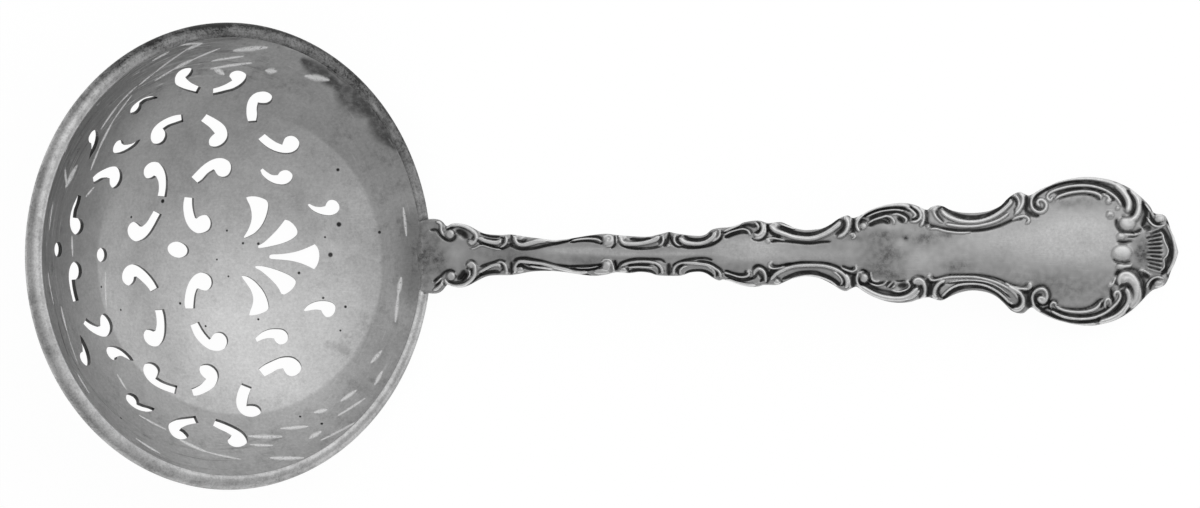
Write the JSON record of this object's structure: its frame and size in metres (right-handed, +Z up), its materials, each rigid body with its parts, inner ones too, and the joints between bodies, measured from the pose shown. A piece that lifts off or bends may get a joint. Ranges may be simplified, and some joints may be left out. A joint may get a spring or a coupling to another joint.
{
  "type": "sugar sifter spoon",
  "caption": "Sugar sifter spoon with a shallow pierced bowl, a wired rim and a long straight handle with scroll borders, a plain centre and a shell tip.",
  "frame": {"origin": "middle of the worn flat under the bowl, on the table that the spoon lies on", "axes": "+X along the spoon from the bowl to the tip of the handle, +Y across it, +Z up"},
  "size_m": [0.1479, 0.06, 0.0313],
  "materials": {
    "bowl_silver": "antique silver, softly worn, tarnished grey with fine scratches",
    "wire_silver": "antique silver, dulled, tarnished along the solder seam",
    "handle_silver": "antique silver, polished on its crests and blackened in its grooves"
  },
  "bodies": {
    "root": {"pierced_bowl": "bowl_silver", "rim_wire": "wire_silver", "handle": "handle_silver"}
  },
  "joints": []
}
